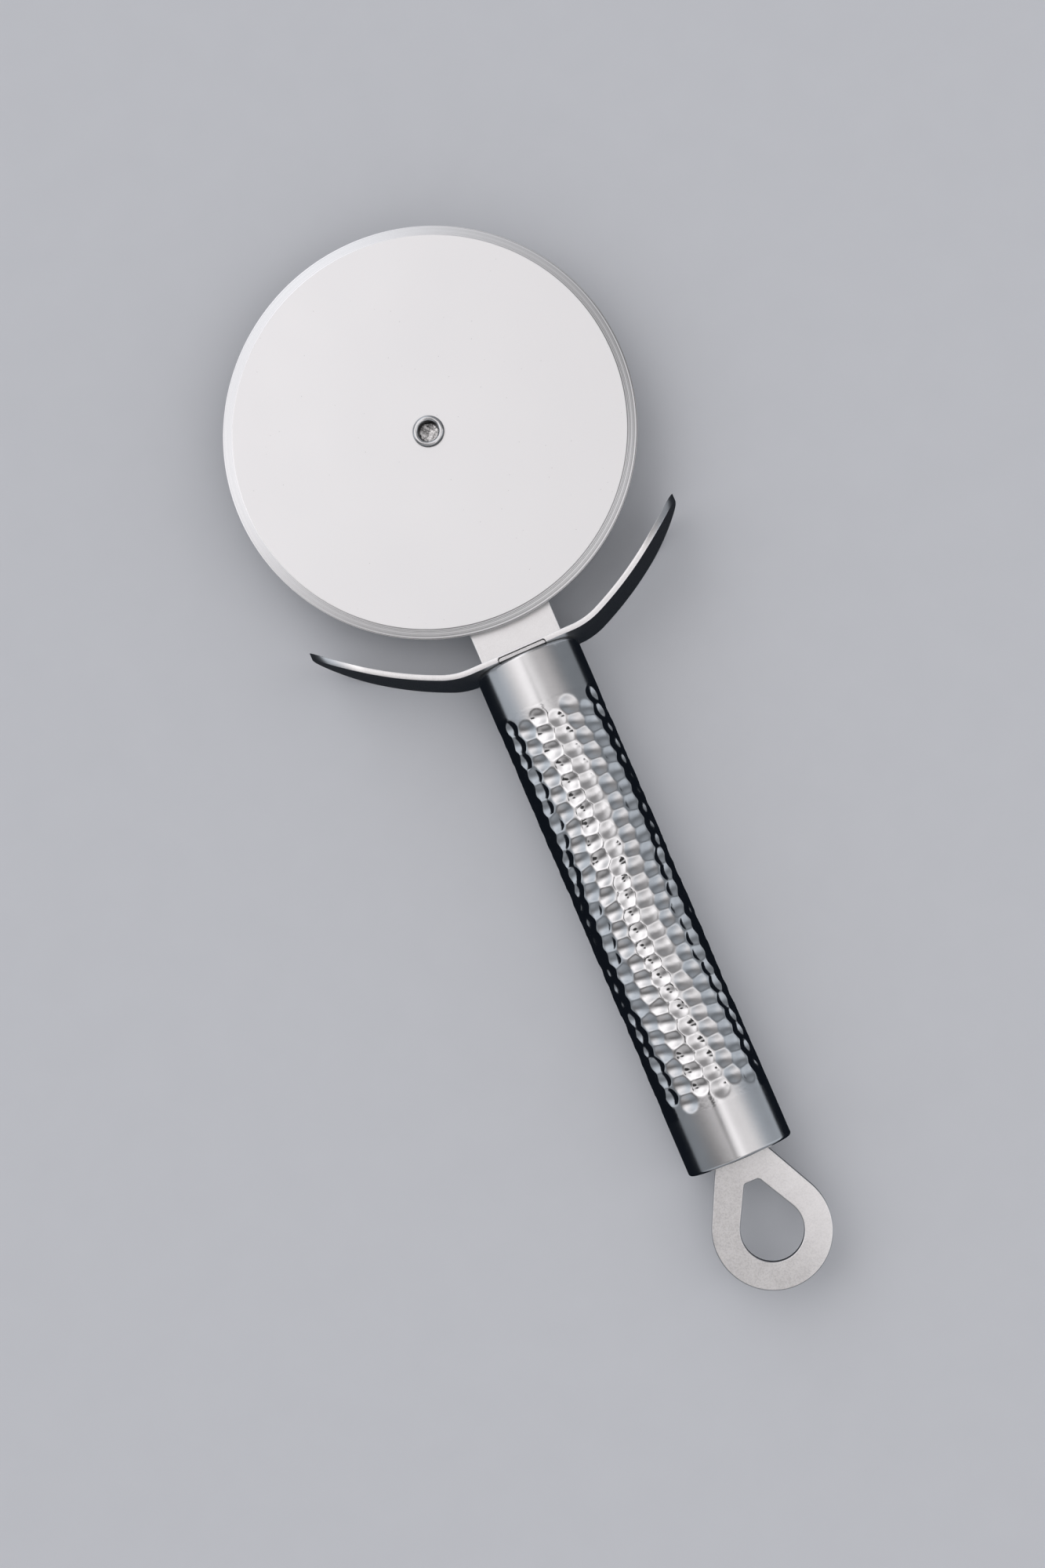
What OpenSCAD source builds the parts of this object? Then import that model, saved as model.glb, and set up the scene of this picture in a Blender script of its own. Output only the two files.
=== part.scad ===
// Pizza wheel with a hammered tube handle, a bent finger guard and a hanging eye.
// It lies flat: X runs across the tool, +Y along the handle toward the wheel, +Z up.
// The origin is on the table, under the middle of the tool. Sizes are in millimetres.

/* [Wheel] */
// Diameter of the cutting wheel
wheel_d = 100; // [80:1:120]
// Thickness of the wheel's disc
wheel_t = 1.6; // [1.2:0.1:2.5]
// Width of the bevel ground round the rim, on both faces
bevel_w = 2.5; // [1:0.1:5]
// Thickness left at the cutting edge
edge_t = 0.3; // [0.2:0.05:0.8]

/* [Pivot rivet] */
// Diameter of the shank that the wheel turns on
shank_d = 6; // [5.4:0.1:6.6]
// Radial play of the wheel on the shank
turn_fit = 0.05; // [0.02:0.01:0.09]
// Play above and below the wheel
side_play = 0.06; // [0.03:0.01:0.1]
// Outer diameter of the rolled rim that holds the wheel on
roll_d = 7.7; // [7.2:0.1:9]
// Diameter of the hollow in the rivet's rolled end
hollow_d = 4.9; // [4.2:0.1:5]
// Diameter of the hollow at its floor
floor_d = 4.3; // [3.6:0.1:4.9]
// Depth of the hollow below the crown of the rim
hollow_depth = 2.2; // [1.4:0.1:3.4]
// Diameter of the oval head behind the neck
head_d = 11; // [9:0.5:14]
// Height of the oval head
head_t = 1.4; // [1:0.1:2]
// Diameter of the spacer washer between neck and wheel
spacer_d = 16; // [12:0.5:20]
// Thickness of the spacer washer
spacer_t = 1.2; // [0.8:0.1:2]

/* [Neck] */
// Width of the flat neck
neck_w = 20.7; // [17:0.1:25]
// Thickness of the neck and its tang
neck_t = 3; // [2:0.1:4]
// Width of the tang that goes through guard and cap
tang_w = 8; // [6:0.5:10]
// Length of the tang inside the handle, past the cap
tang_tail = 9; // [5:0.5:20]

/* [Finger guard] */
// Distance from the wheel's rim to the guard
rim_gap = 7.7; // [6:0.1:12]
// Thickness of the guard's strip
guard_t = 1.4; // [1.3:0.1:2]
// Width of the strip
guard_w = 26; // [25:0.5:30]
// Straight-line distance between the guard's tips
guard_span = 94.8; // [84:0.2:104]
// Rounding of the strip's ends
tip_r = 12; // [8:0.5:12]
// Length of the flat middle
guard_flat = 26; // [24:0.5:30]
// Outer radius of the bend beside the flat
bend_r = 18.2; // [12:0.2:24]
// Angle of that bend
bend_angle = 23.6; // [18:0.2:26]
// Outer radius of each long, gently curved wing
wing_r = 88; // [76:1:110]

/* [Locating key] */
// Width of the key on the cap, which stops the guard from turning
key_w = 11.7; // [11:0.1:14]
// Height of the key above the handle's end
key_h = 0.75; // [0.5:0.05:0.9]
// Size of the key's chamfers
key_chamfer = 0.35; // [0.2:0.05:0.45]
// Clearance of the key in the guard's channel
key_fit = 0.2; // [0.1:0.05:0.3]

/* [Handle] */
// Outer diameter of the handle tube
tube_d = 26; // [22:0.5:30]
// Wall thickness of the tube
tube_wall = 1.5; // [1.3:0.1:2.5]
// Length of the tube
tube_l = 128.4; // [110:0.1:150]
// Length of the smooth collar beside the guard
front_collar = 12.5; // [8:0.5:16]
// Length of the smooth collar beside the eye
rear_collar = 13.9; // [8:0.1:18]
// Rounding of the tube's end edges
end_round = 0.8; // [0.3:0.1:1]
// Distance between neighbouring dimples along the tube
dimple_pitch = 4.1; // [3.4:0.1:6]
// Distance between neighbouring lines of dimples, round the tube
dimple_step = 4; // [3.2:0.1:6]
// Depth of a dimple below its ridges
dimple_depth = 0.55; // [0.2:0.05:0.8]
// How far a ridge corner strays from the even grid, as hand hammering leaves it
stray = 0.3; // [0:0.05:0.5]
// How far the lines of dimples sway to each side, round the tube
sway = 1.5; // [0:0.1:2]
// Length of one full sway, to one side and back
sway_l = 80; // [60:5:160]
// How far the middle of that sway lies from the top of the tube
line_shift = 0.7; // [-2:0.1:2]
// Drop of the ridges below the smooth collars
ridge_drop = 0.1; // [0.05:0.01:0.2]
// Thickness of the two end caps
cap_t = 3; // [2:0.1:5]
// Depth of the rear cap inside the tube's mouth
rear_recess = 1; // [0.5:0.1:3]

/* [Hanging eye] */
// Thickness of the eye's plate
eye_t = 2.8; // [2:0.1:4]
// Diameter of the eye's round end
eye_d = 28.4; // [24:0.1:34]
// Distance from the tube's end to the middle of the eye
eye_reach = 18.7; // [17:0.1:26]
// Width of the plate where it enters the tube
eye_root_w = 13; // [11:0.1:16]
// Diameter of the round end of the hole
hole_d = 15; // [11:0.1:17]
// Distance from the middle of the eye to the hole's narrow end
hole_reach = 12.3; // [10.5:0.1:14]
// Width of the hole's narrow end
hole_top_w = 4.4; // [3:0.1:5]
// Rounding of the two corners there
hole_corner_r = 0.9; // [0.4:0.1:1.4]
// Width of the eye's tang
eye_tang_w = 9; // [6:0.5:10]
// Length of the eye's tang inside the rear cap
eye_tail = 6; // [4:0.5:15]

/* [Hidden] */
$fn = 96;
// Cuts run past the faces that they open by this much
overrun = 1;
// Clearance of a plate in its slot, and of a piece on the shank that carries it
slot_fit = 0.1;
// Clearance of the caps in the tube
cap_fit = 0.02;
// Leg of the fillet welds that hold the tangs to the caps
weld_leg = 2;

wheel_r = wheel_d / 2;
shank_r = shank_d / 2;
tube_r = tube_d / 2;
bore_r = tube_r - tube_wall;
eye_r = eye_d / 2;
hole_r = hole_d / 2;

// Places along the tool
overall_l = wheel_d + rim_gap + guard_t + tube_l + eye_reach + eye_r;
wheel_y = overall_l / 2 - wheel_r;
guard_y = wheel_y - wheel_r - rim_gap;
front_y = guard_y - guard_t;
rear_y = front_y - tube_l;
eye_y = rear_y - eye_reach;

// Heights above the table
axis_z = max(tube_d, guard_w) / 2;
neck_top_z = axis_z + neck_t / 2;
disc_z = neck_top_z + spacer_t + side_play;
roll_z = disc_z + wheel_t + side_play;

// Rolled rim of the rivet, a half round bead
bead_r = (roll_d - hollow_d) / 4;
bead_mid_r = (roll_d + hollow_d) / 4;
crown_z = roll_z + bead_r;

// Guard, seen from above: a flat, a bend and a long arc on each side
wing_x = guard_flat / 2 + (bend_r - wing_r) * sin(bend_angle);
wing_y = bend_r + (wing_r - bend_r) * cos(bend_angle);
tip_angle = asin((guard_span / 2 + overrun - wing_x) / (wing_r - guard_t));
// Most degrees between two points of an arc of the strip
arc_step = 2;

// Hammered part of the tube: staggered columns of six-sided dimples
hammered_l = tube_l - front_collar - rear_collar;
rows = round(hammered_l / dimple_pitch) - 1;
row_pitch = hammered_l / (rows + 1);
first_y = row_pitch * 3 / 4;
columns = 2 * round(PI * tube_d / (2 * dimple_step));
lines = 2 * columns;
unit_angle = 360 / (3 * columns);
ridge_r = tube_r - ridge_drop;
// The skin's points are numbered in this order: ridge corners, dimple centres, rings in dimples, ends
ring_first = lines * (rows + 1) + columns * rows;
end_first = ring_first + 6 * columns * rows;
// Corners of an even dimple round its centre, in unit angles and row pitches
corner_shares = [[2, 0], [1, 1 / 2], [-1, 1 / 2], [-2, 0], [-1, -1 / 2], [1, -1 / 2]];
// Ring of points inside a dimple, as a share of the way from its centre to its corners
ring_share = 0.55;
// Turn from one stray direction to the next, which never repeats
golden_angle = 180 * (3 - sqrt(5));

// Direction of the outward normal of the line that touches, on its right side, a circle of radius
// r_low at the origin and one of radius r_high at the point c
function touch_angle(r_low, r_high, c) = atan2(c[1], c[0]) - acos((r_low - r_high) / norm(c));
function polar(r, a) = [r * cos(a), r * sin(a)];
function arc(c, r, from, to) = let (n = ceil(abs(to - from) / arc_step))
    [for (i = [0 : n]) c + polar(r, from + (to - from) * i / n)];
function mirrored(points) = [for (i = [len(points) - 1 : -1 : 0]) [-points[i][0], points[i][1]]];

// Cutting wheel: a disc with a bevel on both faces and a bore for the rivet
module cutting_wheel() {
    bore = shank_r + turn_fit;
    flat_r = wheel_r - bevel_w;
    color("gainsboro")
    translate([0, wheel_y, disc_z])
    rotate_extrude()
    polygon([
        [bore, 0],
        [flat_r, 0],
        [wheel_r, (wheel_t - edge_t) / 2],
        [wheel_r, (wheel_t + edge_t) / 2],
        [flat_r, wheel_t],
        [bore, wheel_t]
    ]);
}

// Semi-tubular rivet: oval head below, plain shank, and a hollow end rolled out over the wheel
module pivot_rivet() {
    head_z = axis_z - neck_t / 2;
    dome_r = (pow(head_d / 2, 2) + pow(head_t, 2)) / (2 * head_t);
    floor_z = crown_z - hollow_depth;
    color("silver")
    translate([0, wheel_y, 0])
    rotate_extrude()
    difference() {
        union() {
            intersection() {
                translate([0, head_z - head_t + dome_r]) circle(dome_r);
                translate([0, head_z - head_t]) square([head_d / 2, head_t]);
            }
            translate([0, head_z]) square([shank_r, roll_z - head_z]);
            intersection() {
                translate([bead_mid_r, roll_z]) circle(bead_r);
                translate([hollow_d / 2, roll_z]) square([roll_d / 2, bead_r]);
            }
        }
        polygon([
            [0, floor_z],
            [floor_d / 2, floor_z],
            [hollow_d / 2, roll_z],
            [hollow_d / 2, crown_z + overrun],
            [0, crown_z + overrun]
        ]);
    }
}

// Washer that holds the wheel off the neck
module spacer_washer() {
    color("silver")
    translate([0, wheel_y, neck_top_z])
    difference() {
        cylinder(h = spacer_t, d = spacer_d);
        translate([0, 0, -overrun]) cylinder(h = spacer_t + 2 * overrun, r = shank_r + slot_fit);
    }
}

// Flat neck: round behind the wheel, square shoulders on the guard, and a tang into the handle
module neck_plate() {
    tang_l = guard_y - front_y + cap_t + tang_tail;
    color("lightgray")
    translate([0, 0, axis_z - neck_t / 2])
    linear_extrude(neck_t)
    difference() {
        union() {
            translate([0, wheel_y]) circle(d = neck_w);
            translate([-neck_w / 2, guard_y]) square([neck_w, wheel_y - guard_y]);
            translate([-tang_w / 2, guard_y - tang_l]) square([tang_w, tang_l + overrun]);
        }
        translate([0, wheel_y]) circle(shank_r + slot_fit);
    }
}

// Right half of the guard's strip, seen from above: out along its outer face, back along its inner
function half_strip() = concat(
    arc([guard_flat / 2, bend_r], bend_r, -90, bend_angle - 90),
    arc([wing_x, wing_y], wing_r, bend_angle - 90, tip_angle - 90),
    arc([wing_x, wing_y], wing_r - guard_t, tip_angle - 90, bend_angle - 90),
    arc([guard_flat / 2, bend_r], bend_r - guard_t, bend_angle - 90, -90)
);

// Guard's outline, seen along the handle: a strip with rounded ends
module guard_outline() {
    middle_x = guard_span / 2 - tip_r;
    middle_z = guard_w / 2 - tip_r;
    square([2 * middle_x, guard_w], center = true);
    square([guard_span, 2 * middle_z], center = true);
    for (x = [-middle_x, middle_x], z = [-middle_z, middle_z]) {
        translate([x, z]) circle(tip_r);
    }
}

// Locating key's end view, grown by a clearance for the channel that takes it
module key_profile(fit) {
    half = key_w / 2 + fit;
    top = key_h + fit;
    polygon([
        [-half, 0],
        [-half, top - key_chamfer],
        [-half + key_chamfer, top],
        [half - key_chamfer, top],
        [half, top - key_chamfer],
        [half, 0]
    ]);
}

// Finger guard: a strip with rounded ends, bent round the wheel, with a slot for the tang
// and a channel for the locating key
module finger_guard() {
    depth = wing_y;
    color("lightgray")
    translate([0, front_y, axis_z])
    difference() {
        intersection() {
            linear_extrude(guard_w + 2 * overrun, center = true)
            polygon(concat(half_strip(), mirrored(half_strip())));
            translate([0, depth, 0]) rotate([90, 0, 0]) linear_extrude(depth + overrun) guard_outline();
        }
        cube([tang_w + 2 * slot_fit, 2 * (guard_t + overrun), neck_t + 2 * slot_fit], center = true);
        linear_extrude(guard_w + 4 * overrun, center = true) {
            key_profile(key_fit);
            translate([-key_w / 2 - key_fit, -overrun]) square([key_w + 2 * key_fit, overrun]);
        }
    }
}

// Disc that closes the tube, from its outer face toward +Y, with a slot for a tang
module cap_disc(slot_w, slot_t) {
    difference() {
        rotate([-90, 0, 0]) cylinder(h = cap_t, r = bore_r - cap_fit);
        cube([slot_w + 2 * slot_fit, 4 * cap_t, slot_t + 2 * slot_fit], center = true);
    }
}

// Front cap: closes the tube behind the guard and carries the locating key
module front_cap() {
    color("darkgray")
    translate([0, front_y, axis_z])
    difference() {
        union() {
            rotate([90, 0, 0]) cylinder(h = cap_t, r = bore_r - cap_fit);
            linear_extrude(guard_w, center = true) key_profile(0);
        }
        cube([tang_w + 2 * slot_fit, 4 * cap_t, neck_t + 2 * slot_fit], center = true);
    }
}

// Rear cap: sits a little inside the tube's mouth and holds the eye
module rear_cap() {
    color("darkgray")
    translate([0, rear_y + rear_recess, axis_z])
    cap_disc(eye_tang_w, eye_t);
}

// Degrees of turn round the tube for a length round its ridges
function turn_of(l) = l / ridge_r * 180 / PI;

// Point on the hammered skin. A place is the angle round the tube in the even grid, then the length
// along it. The grid sways from side to side along the tube.
function skin_point(place, r) = let (
    shift = line_shift + sway * cos(360 * place[1] / sway_l),
    a = place[0] + turn_of(shift)
) [r * sin(a), place[1], r * cos(a)];
function line_angle(k) = (3 * floor(k / 2) + 1 + k % 2) * unit_angle;
// Lines 0 and 3 of every four start half a dimple lower than the other two
function line_start(k) = (k % 4 == 0 || k % 4 == 3) ? -row_pitch / 2 : 0;
function ridge_index(k, j) = ((k + lines) % lines) * (rows + 1) + j;
function centre_index(i, j) = lines * (rows + 1) + i * rows + j;
function ring_index(i, j, m) = ring_first + 6 * (i * rows + j) + m % 6;
function low_index(k) = end_first + (k + lines) % lines;
function high_index(k) = low_index(k) + lines;

// Shift of a ridge corner from the even grid, as a place: the same length for all, turned by its number
function stray_of(index) = let (shift = polar(stray, golden_angle * pow(index, 2)))
    [turn_of(shift[0]), shift[1]];
function ridge_place(k, j) = [line_angle(k), first_y + line_start(k) + j * row_pitch]
    + stray_of(ridge_index(k, j));
function centre_place(i, j) = [3 * i * unit_angle, first_y + (j + (i % 2) / 2) * row_pitch];

// Corners of one dimple, anticlockwise from its right corner as seen from outside
function dimple_corners(i, j) = let (odd = i % 2) [
    ridge_index(2 * i + 1, j + odd),
    ridge_index(2 * i, j + 1),
    ridge_index(2 * i - 1, j + 1),
    ridge_index(2 * i - 2, j + odd),
    ridge_index(2 * i - 1, j),
    ridge_index(2 * i, j)
];

// Place of corner m of a dimple, shrunk toward the dimple's centre by a share
function inner_place(i, j, m, share) = centre_place(i, j) + share * (
    [corner_shares[m][0] * unit_angle, corner_shares[m][1] * row_pitch]
    + stray_of(dimple_corners(i, j)[m]));

// Hammered skin: ridges on one radius, with a bowl between them in each six-sided dimple. A bowl's
// depth falls with the square of the distance from its centre. It has six faces round the centre and
// twelve more out to the ridges. The skin starts at y = 0 and reaches into both collars by the overrun.
module hammered_skin() {
    centre_r = ridge_r - dimple_depth;
    ring_r = ridge_r - dimple_depth * (1 - pow(ring_share, 2));
    points = concat(
        [for (k = [0 : lines - 1], j = [0 : rows]) skin_point(ridge_place(k, j), ridge_r)],
        [for (i = [0 : columns - 1], j = [0 : rows - 1]) skin_point(centre_place(i, j), centre_r)],
        [for (i = [0 : columns - 1], j = [0 : rows - 1], m = [0 : 5])
            skin_point(inner_place(i, j, m, ring_share), ring_r)],
        [for (k = [0 : lines - 1]) skin_point([line_angle(k), -overrun], ridge_r)],
        [for (k = [0 : lines - 1]) skin_point([line_angle(k), hammered_l + overrun], ridge_r)]
    );
    dimples = [for (i = [0 : columns - 1], j = [0 : rows - 1])
        let (c = dimple_corners(i, j))
        for (m = [0 : 5])
        let (near = ring_index(i, j, m), next = ring_index(i, j, m + 1), far = c[(m + 1) % 6])
        each [[centre_index(i, j), next, near], [near, next, far], [near, far, c[m]]]];
    low_band = [for (k = [0 : lines - 1])
        each [[ridge_index(k, 0), ridge_index(k + 1, 0), low_index(k + 1)],
            [ridge_index(k, 0), low_index(k + 1), low_index(k)]]];
    high_band = [for (k = [0 : lines - 1])
        each [[ridge_index(k + 1, rows), ridge_index(k, rows), high_index(k)],
            [ridge_index(k + 1, rows), high_index(k), high_index(k + 1)]]];
    low_end = [[for (k = [0 : lines - 1]) low_index(k)]];
    high_end = [[for (k = [lines - 1 : -1 : 0]) high_index(k)]];
    polyhedron(points, concat(dimples, low_band, high_band, low_end, high_end));
}

// Smooth end of the tube, with a rounded edge at its far end
module collar(l) {
    rotate_extrude() {
        square([tube_r, l - end_round]);
        square([tube_r - end_round, l]);
        translate([tube_r - end_round, l - end_round]) circle(end_round);
    }
}

// Handle tube: smooth at both ends and hammered between them
module handle_tube() {
    color("silver")
    translate([0, 0, axis_z])
    difference() {
        union() {
            translate([0, front_y - front_collar, 0]) rotate([-90, 0, 0]) collar(front_collar);
            translate([0, rear_y + rear_collar, 0]) rotate([90, 0, 0]) collar(rear_collar);
            translate([0, rear_y + rear_collar, 0]) hammered_skin();
        }
        translate([0, rear_y - overrun, 0])
        rotate([-90, 0, 0])
        cylinder(h = tube_l + 2 * overrun, r = bore_r);
    }
}

// Hanging eye: a plate that flares to a round end, with a drop-shaped hole and a tang
module hanging_eye() {
    root = [eye_root_w / 2, eye_reach];
    side = touch_angle(eye_r, 0, root);
    flare = [polar(eye_r, side), root];
    corner = [hole_top_w / 2 - hole_corner_r, hole_reach - hole_corner_r];
    hole_side = touch_angle(hole_r, hole_corner_r, corner);
    hole_flare = [
        polar(hole_r, hole_side),
        corner + polar(hole_corner_r, hole_side),
        corner + [0, hole_corner_r]
    ];
    tang_l = cap_t + eye_tail;
    color("lightgray")
    translate([0, eye_y, axis_z - eye_t / 2])
    linear_extrude(eye_t)
    difference() {
        union() {
            circle(eye_r);
            polygon(concat(flare, mirrored(flare)));
            translate([-eye_root_w / 2, eye_reach]) square([eye_root_w, rear_recess]);
            translate([-eye_tang_w / 2, eye_reach]) square([eye_tang_w, rear_recess + tang_l]);
        }
        circle(hole_r);
        polygon(concat(hole_flare, mirrored(hole_flare)));
        for (x = [-corner[0], corner[0]]) {
            translate([x, corner[1]]) circle(hole_corner_r);
        }
    }
}

// Two fillet welds, one on each face of a plate that ends inside the tube.
// They start at y = 0, on the cap's inner face, and run toward dir.
module weld_pair(w, plate_t, dir) {
    for (side = [-1, 1]) {
        rotate([90, 0, 90])
        linear_extrude(w, center = true)
        polygon([
            [0, side * plate_t / 2],
            [dir * weld_leg, side * plate_t / 2],
            [0, side * (plate_t / 2 + weld_leg)]
        ]);
    }
}

// Welds behind the front cap
module neck_welds() {
    color("dimgray")
    translate([0, front_y - cap_t, axis_z])
    weld_pair(tang_w, neck_t, -1);
}

// Welds behind the rear cap
module eye_welds() {
    color("dimgray")
    translate([0, rear_y + rear_recess + cap_t, axis_z])
    weld_pair(eye_tang_w, eye_t, 1);
}

cutting_wheel();
pivot_rivet();
spacer_washer();
neck_plate();
finger_guard();
front_cap();
handle_tube();
rear_cap();
hanging_eye();
neck_welds();
eye_welds();
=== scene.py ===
"""Looks of a pizza wheel with a hammered tube handle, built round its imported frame.

The pieces are worked out in millimetres, in the frame's own axes, and piece() turns them into
metres. The floor and the camera are given in metres. Each new piece is a surface on a grid.
"""

import bmesh
import bpy
import numpy as np
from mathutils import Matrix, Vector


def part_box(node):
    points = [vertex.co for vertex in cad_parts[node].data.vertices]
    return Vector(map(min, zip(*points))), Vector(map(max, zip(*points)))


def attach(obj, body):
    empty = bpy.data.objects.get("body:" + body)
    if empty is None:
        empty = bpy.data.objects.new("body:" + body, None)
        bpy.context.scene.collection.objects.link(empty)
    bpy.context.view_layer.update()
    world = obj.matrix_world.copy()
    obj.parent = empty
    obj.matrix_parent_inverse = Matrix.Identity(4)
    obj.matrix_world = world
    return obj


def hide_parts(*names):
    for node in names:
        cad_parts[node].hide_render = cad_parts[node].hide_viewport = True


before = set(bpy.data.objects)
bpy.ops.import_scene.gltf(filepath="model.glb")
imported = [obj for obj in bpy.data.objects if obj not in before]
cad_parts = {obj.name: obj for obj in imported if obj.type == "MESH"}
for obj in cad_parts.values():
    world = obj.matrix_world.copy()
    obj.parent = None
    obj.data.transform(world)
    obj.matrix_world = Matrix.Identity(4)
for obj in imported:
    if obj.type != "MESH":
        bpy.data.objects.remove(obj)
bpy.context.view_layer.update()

MM = 0.001

# Points this close together are one, and edges this short are closed up, in metres
MERGE, SLIVER = 1e-6, 1e-7

# Sizes repeated from the part's source, where a node's box doesn't give them
BEVEL_W, EDGE_T = 2.5, 0.3
SHANK_R, TURN_FIT = 3.0, 0.05
ROLL_D, HOLLOW_D, FLOOR_D, HOLLOW_DEPTH, HEAD_T = 7.7, 4.9, 4.3, 2.2, 1.4
TANG_W, SLOT_FIT = 8.0, 0.1
GUARD_T, GUARD_FLAT, TIP_R = 1.4, 26.0, 12.0
BEND_R, BEND_ANGLE, WING_R = 18.2, np.radians(23.6), 88.0
KEY_W, KEY_H, KEY_CHAMFER, KEY_FIT = 11.7, 0.75, 0.35, 0.2
TUBE_WALL, END_ROUND = 1.5, 0.8
FRONT_COLLAR, REAR_COLLAR = 12.5, 13.9
DIMPLE_PITCH, DIMPLE_STEP, SWAY_L = 4.1, 4.0, 80.0
EYE_R, EYE_ROOT_W, EYE_REACH = 14.2, 13.0, 18.7
HOLE_R, HOLE_TOP_W, HOLE_CORNER_R, HOLE_REACH = 7.5, 4.4, 0.9, 12.3
REAR_RECESS, EYE_TANG_W = 1.0, 9.0

# How far the hammered lines sway and stand aside, a little more than in the source
SWAY, LINE_SHIFT = 1.75, 0.85

# Small roundings that a deburred or tumbled edge has, and how far inside a rounding lies the
# support line that keeps the face beside it flat
PLATE_ROUND, GUARD_ROUND, SUPPORT = 0.28, 0.16, 0.04


def box(node):
    """Lowest and highest corner of a node at rest, in millimetres."""
    low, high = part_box(node)
    return np.array(low) / MM, np.array(high) / MM


wheel_low, wheel_high = box("cutting_wheel")
tube_low, tube_high = box("handle_tube")
neck_low, neck_high = box("neck_plate")
guard_low, guard_high = box("finger_guard")
washer_low, washer_high = box("spacer_washer")
eye_low, eye_high = box("hanging_eye")
rivet_low, rivet_high = box("pivot_rivet")

WHEEL_R = (wheel_high[0] - wheel_low[0]) / 2
WHEEL_Y = (wheel_high[1] + wheel_low[1]) / 2
TUBE_R = (tube_high[0] - tube_low[0]) / 2
AXIS_Z = (tube_high[2] + tube_low[2]) / 2
FRONT_Y, REAR_Y = tube_high[1], tube_low[1]
GUARD_Y = guard_low[1]
GUARD_HALF_W = (guard_high[2] - guard_low[2]) / 2
GUARD_SPAN = (guard_high[0] - guard_low[0]) / 2
EYE_Y = REAR_Y - EYE_REACH

# The guard's slot for the tang, and its channel for the front cap's key
SLOT_X, SLOT_Z = TANG_W / 2 + SLOT_FIT, (neck_high[2] - neck_low[2]) / 2 + SLOT_FIT
CHANNEL_X, CHANNEL_DEPTH = KEY_W / 2 + KEY_FIT, KEY_H + KEY_FIT


# Meshes

def grid_faces(rows, columns, wrap_rows=False, wrap_columns=False):
    """Quads of a grid of points numbered row by row. A wrapped side joins its last line to its
    first."""
    r, c = np.meshgrid(
        np.arange(rows - (not wrap_rows)), np.arange(columns - (not wrap_columns)), indexing="ij")
    r1, c1 = (r + 1) % rows, (c + 1) % columns
    corners = [r * columns + c, r * columns + c1, r1 * columns + c1, r1 * columns + c]
    return np.stack(corners, -1).reshape(-1, 4)


def piece(name, grids, body, material, nodes, sharp=40):
    """One closed piece from (points, faces) pairs: doubles merged, normals outward, smooth except
    past the sharp angle in degrees. It rides on a body and stands for the CAD nodes named."""
    start = 0
    all_points, all_faces = [], []
    for points, faces in grids:
        all_points.append(points)
        all_faces.append(faces + start)
        start += len(points)
    all_points, all_faces = np.concatenate(all_points) * MM, np.concatenate(all_faces)
    mesh = bpy.data.meshes.new(name)
    mesh.from_pydata(all_points.tolist(), [], all_faces.tolist())
    work = bmesh.new()
    work.from_mesh(mesh)
    bmesh.ops.remove_doubles(work, verts=work.verts, dist=MERGE)
    bmesh.ops.dissolve_degenerate(work, dist=SLIVER, edges=work.edges)
    bmesh.ops.recalc_face_normals(work, faces=work.faces)
    work.to_mesh(mesh)
    work.free()
    mesh.shade_smooth()
    mesh.set_sharp_from_angle(angle=np.radians(sharp))
    mesh.materials.append(material)
    made = bpy.data.objects.new(name, mesh)
    bpy.context.scene.collection.objects.link(made)
    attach(made, body)
    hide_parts(*nodes)


def turn_between(inward, onward):
    """Signed angle from one direction to the next."""
    return np.arctan2(inward[0] * onward[1] - inward[1] * onward[0], inward @ onward)


def rounded(corners, radii, steps=5, spacing=None):
    """Closed outline through corners, each rounded by an arc of its radius that touches both its
    sides. Straight runs get points about spacing apart. Returns points and outward normals for an
    anticlockwise outline. A radius of 0 keeps the corner."""
    corners = np.array(corners, float)
    points, normals = [], []
    count = len(corners)
    for i in range(count):
        before, corner, after = corners[i - 1], corners[i], corners[(i + 1) % count]
        inward = (corner - before) / np.linalg.norm(corner - before)
        onward = (after - corner) / np.linalg.norm(after - corner)
        turn = turn_between(inward, onward)
        side = np.sign(turn) or 1.0
        cut = radii[i] * np.tan(abs(turn) / 2)
        first = corner - inward * cut
        left = np.array([-inward[1], inward[0]])
        centre = first + side * left * radii[i]
        n = 1
        if radii[i] > 0:
            n = max(steps, int(np.ceil(abs(turn) * radii[i] / spacing)) if spacing else 1)
        a = turn * np.linspace(0, 1, n + 1)
        out = np.stack([-left[0] * np.cos(a) + left[1] * np.sin(a),
                        -left[0] * np.sin(a) - left[1] * np.cos(a)], 1)
        points.append(centre + side * out * radii[i])
        normals.append(out)
        # the straight run up to where the next corner's arc begins
        beyond = corners[(i + 2) % count] - after
        beyond = beyond / np.linalg.norm(beyond)
        next_turn = turn_between(onward, beyond)
        end = after - onward * radii[(i + 1) % count] * np.tan(abs(next_turn) / 2)
        begin = corner + onward * cut
        run = np.linalg.norm(end - begin)
        m = int(np.floor(run / spacing)) if spacing else 0
        if run > 4 * SUPPORT:
            t = np.concatenate(
                [[SUPPORT / run], np.linspace(0, 1, m + 2)[1:-1], [1 - SUPPORT / run]])
            points.append(begin + (end - begin) * t[:, None])
            normals.append(np.tile([onward[1], -onward[0]], (len(t), 1)))
    return np.concatenate(points), np.concatenate(normals)


def quarter(round_r, steps=4):
    """Quarter circle over an edge, from the face to the side: distance in from the outline, and
    drop from the face. A support line lies just inside it on the face."""
    a = np.radians(90) * np.linspace(0, 1, steps + 1)
    inset = np.concatenate([[round_r + SUPPORT], round_r * (1 - np.sin(a))])
    drop = np.concatenate([[0], round_r * (1 - np.cos(a))])
    return inset, drop


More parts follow.
